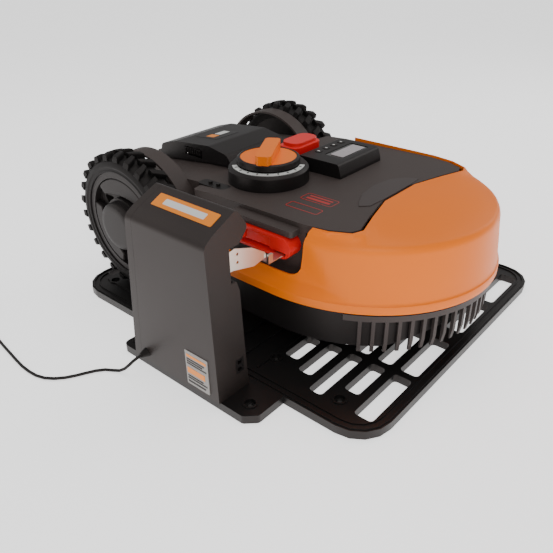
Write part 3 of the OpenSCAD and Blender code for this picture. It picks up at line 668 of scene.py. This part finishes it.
KNOB = (204, -76)
KNOB_RIM = [(46.5, 270.6), (46.5, 271.6), (48.5, 272.0), (51.9, 270.2), (52.3, 268.0), (52.3, 262.4),
            (49.6, 261.2), (49.6, 249.2), (49.0, 249.2), (49.0, 262.6), (50.5, 269.0)]
ring_z("knob_rim", KNOB, KNOB_RIM, "black_plastic", "knob")
for k in (1, 2, 3, 4):
    softened(f"key_{k}", 0.7 * MM)


# ---------------------------------------------------------------- labels, decals and small trim
def plate(name, outline, low, high, mat, body, axis="z", soft=0.25):
    obj = prism(name, outline, low, high, axis)
    bevel(obj, soft * MM, 1)
    return finish_piece(obj, mat, body)


def make_tower_badge():
    """A plain orange plate with a pale stripe on the tower's sloping top."""
    slope = (Vector((0, -343, 273)), Vector((0, -301, 293)))
    along = (slope[1] - slope[0]).normalized()
    normal = Vector((0, -along.z, along.y))

    def sheet(name, x0, x1, s0, s1, low, high, mat):
        verts = []
        for h in (low, high):
            for x, s in rounded_rect(x0, x1, s0, s1, 1.5):
                p = slope[0] + along * s + normal * h
                verts.append(mm(x, p.y, p.z))
        obj = add_mesh(name, verts, prism_faces(len(verts) // 2), smooth=False)
        finish_piece(obj, mat, "dock")

    sheet("badge_plate", 222, 337, 9, 31, -0.2, 0.7, "badge_orange")
    sheet("badge_stripe", 240, 319, 15, 25, 0.6, 1.0, "white_plastic")


make_tower_badge()


def make_rating_label():
    """A plain label low on the tower's side, with bars in place of its lines."""
    face_y = -357.9
    plate("rating_label", rounded_rect(290, 336, 22, 82, 1.5), face_y - 0.9, face_y + 1.2, "label_silver",
          "dock", "y", 0.1)
    rows = ((74, 2.2), (68, 1.2), (64, 1.2), (60, 1.2), (48, 5.0), (38, 1.2), (34, 1.2), (28, 1.6))
    for i, (z, half) in enumerate(rows):
        mat = "badge_orange" if i in (0, 4) else "dark_gap"
        outline = rounded_rect(293, 333 - 4 * (i % 3), z - half, z + half, 0.5, 2)
        plate(f"rating_bar_{i}", outline, face_y - 1.2, face_y - 0.8, mat, "dock", "y", 0.05)


make_rating_label()


def outline_frame(name, x0, x1, y0, y1, r, width, z0, z1, mat, body):
    obj = prism(name, rounded_rect(x0, x1, y0, y1, r), z0, z1)
    hole = rounded_rect(x0 + width, x1 - width, y0 + width, y1 - width, max(r - width, 0.5))
    cut(obj, prism(name + "_hole", hole, z0 - 5, z1 + 5))
    return finish_piece(obj, mat, body)


def deck_z(x):
    """Height of the deck's top, which rises a little towards the front."""
    return 232 + max(0.0, (x - 180) * 0.01)


def make_deck_decals():
    """Two plain red outlines and a slightly raised panel on the front of the deck."""
    low, high = deck_z(330) - 0.4, deck_z(330) + 0.3
    outline_frame("deck_decal_upper", 298, 358, -112, -86, 5, 1.3, low, high, "decal_red", "mower")
    outline_frame("deck_decal_lower", 298, 358, -147, -128, 4, 1.3, low, high, "decal_red", "mower")
    for i, (y0, y1) in enumerate(((-96, -92), (-106, -100))):
        plate(f"deck_decal_bar_{i}", rounded_rect(306, 350, y0, y1, 1.0, 3), low, high, "decal_red", "mower",
              soft=0.1)
    panel = [(367, -41), (361, -1), (361, 1), (367, 41), (383, 62), (402, 72), (404, 39), (404, -39),
             (402, -72), (389, -84), (380, -70)]
    plate("deck_panel", panel, 233.6, 235.4, "patch_plastic", "mower", soft=0.4)


make_deck_decals()
plate("lcd_window", rounded_rect(254, 280, 28, 96, 2), 256.2, 257.3, "lcd", "mower")
KEY_Y, KEY_PITCH = 28, 22
for k in range(4):
    y = KEY_Y + KEY_PITCH * k
    plate(f"key_icon_{k + 1}", rounded_rect(226.6, 231.4, y - 1.4, y + 1.4, 1.0, 3), 257.6, 258.1,
          "white_plastic", f"key_{k + 1}", soft=0.1)


def cover_z(x):
    """Height of the battery cover's rear slope."""
    return 250 + (x + 30) * 8 / 90


LABEL_DEPTH = 1.2


def slope_plate(name, x0, x1, y0, y1, r, rise, mat):
    """A thin plate that follows the battery cover's slope and stands proud of it by its rise."""
    points = rounded_rect(x0, x1, y0, y1, r)
    verts = [mm(x, y, cover_z(x) + rise - LABEL_DEPTH) for x, y in points]
    verts += [mm(x, y, cover_z(x) + rise) for x, y in points]
    obj = add_mesh(name, verts, prism_faces(len(points)), smooth=False)
    return finish_piece(face_outward(obj), mat, "battery_lid")


slope_plate("battery_label", -18, 38, -34, 26, 2.5, 0.35, "dark_gap")
slope_plate("battery_label_orange", 2, 22, -26, -10, 1.5, 0.6, "badge_orange")
slope_plate("battery_label_bar", 4, 20, -6, 20, 1.5, 0.6, "white_plastic")

TICK_INNER_R, TICK_OUTER_R, TICK_HALF_WIDTH = 54.5, 58.5, 1.3
SCALE_COVER = [(52.3, 259.0), (60.8, 258.6), (60.8, 259.7), (52.3, 259.9)]


def make_scale():
    """Ticks round the knob where its scale shows, and a plain ring over the rest of the turn."""
    corners = ((TICK_INNER_R, -1), (TICK_OUTER_R, -1), (TICK_OUTER_R, 1), (TICK_INNER_R, 1))
    for i, degrees in enumerate(range(-118, 20, 17)):
        c, s = math.cos(math.radians(degrees)), math.sin(math.radians(degrees))
        tick = []
        for r, sign in corners:
            w = sign * TICK_HALF_WIDTH
            tick.append((KNOB[0] + r * c - w * s, KNOB[1] + r * s + w * c))
        plate(f"scale_tick_{i}", tick, 259.2, 259.8, "dark_gap", "mower", soft=0.05)
    ring_z("scale_cover", KNOB, SCALE_COVER, "black_plastic", "mower", start=30, sweep=200, segments=60)


make_scale()
